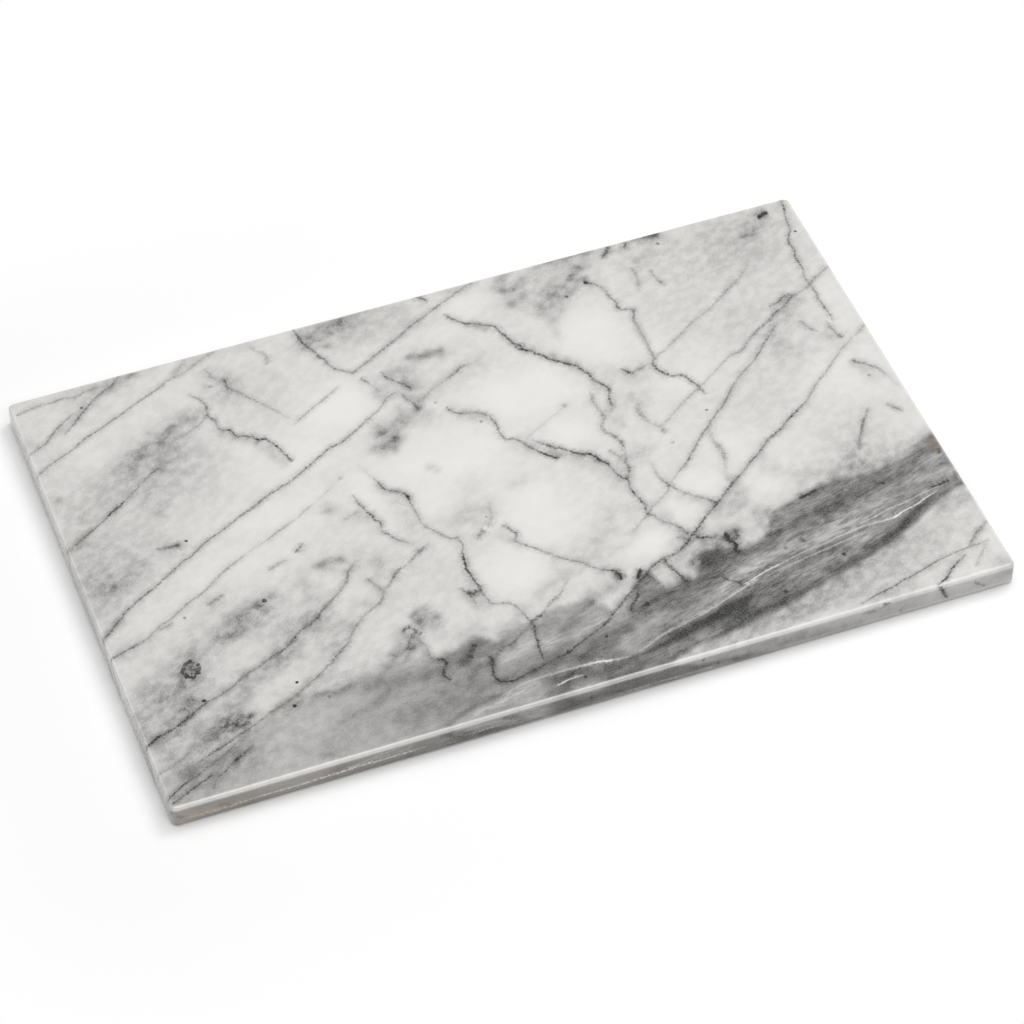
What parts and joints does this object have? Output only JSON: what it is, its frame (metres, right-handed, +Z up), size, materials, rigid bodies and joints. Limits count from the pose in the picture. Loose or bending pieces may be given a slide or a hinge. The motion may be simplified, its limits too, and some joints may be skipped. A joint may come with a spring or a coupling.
{
  "type": "marble chopping board",
  "caption": "Rectangular polished marble chopping board with a rounded top arris, standing on thin self-adhesive non-slip rubber feet.",
  "frame": {"origin": "on the surface that the board stands on, below the middle of the slab", "axes": "+X along the long side, +Y along the short side away from the picture's viewer, +Z up out of the work surface"},
  "size_m": [0.457, 0.305, 0.0139],
  "materials": {
    "marble": "polished white marble with grey veins and one dark grey band",
    "foot_rubber": "matt grey die-cut rubber",
    "adhesive": "milky acrylic adhesive film"
  },
  "bodies": {
    "root": {"marble_slab": "marble", "foot_front_left": "foot_rubber", "foot_front_right": "foot_rubber", "foot_back_left": "foot_rubber", "foot_back_right": "foot_rubber", "adhesive_front_left": "adhesive", "adhesive_front_right": "adhesive", "adhesive_back_left": "adhesive", "adhesive_back_right": "adhesive"}
  },
  "joints": []
}
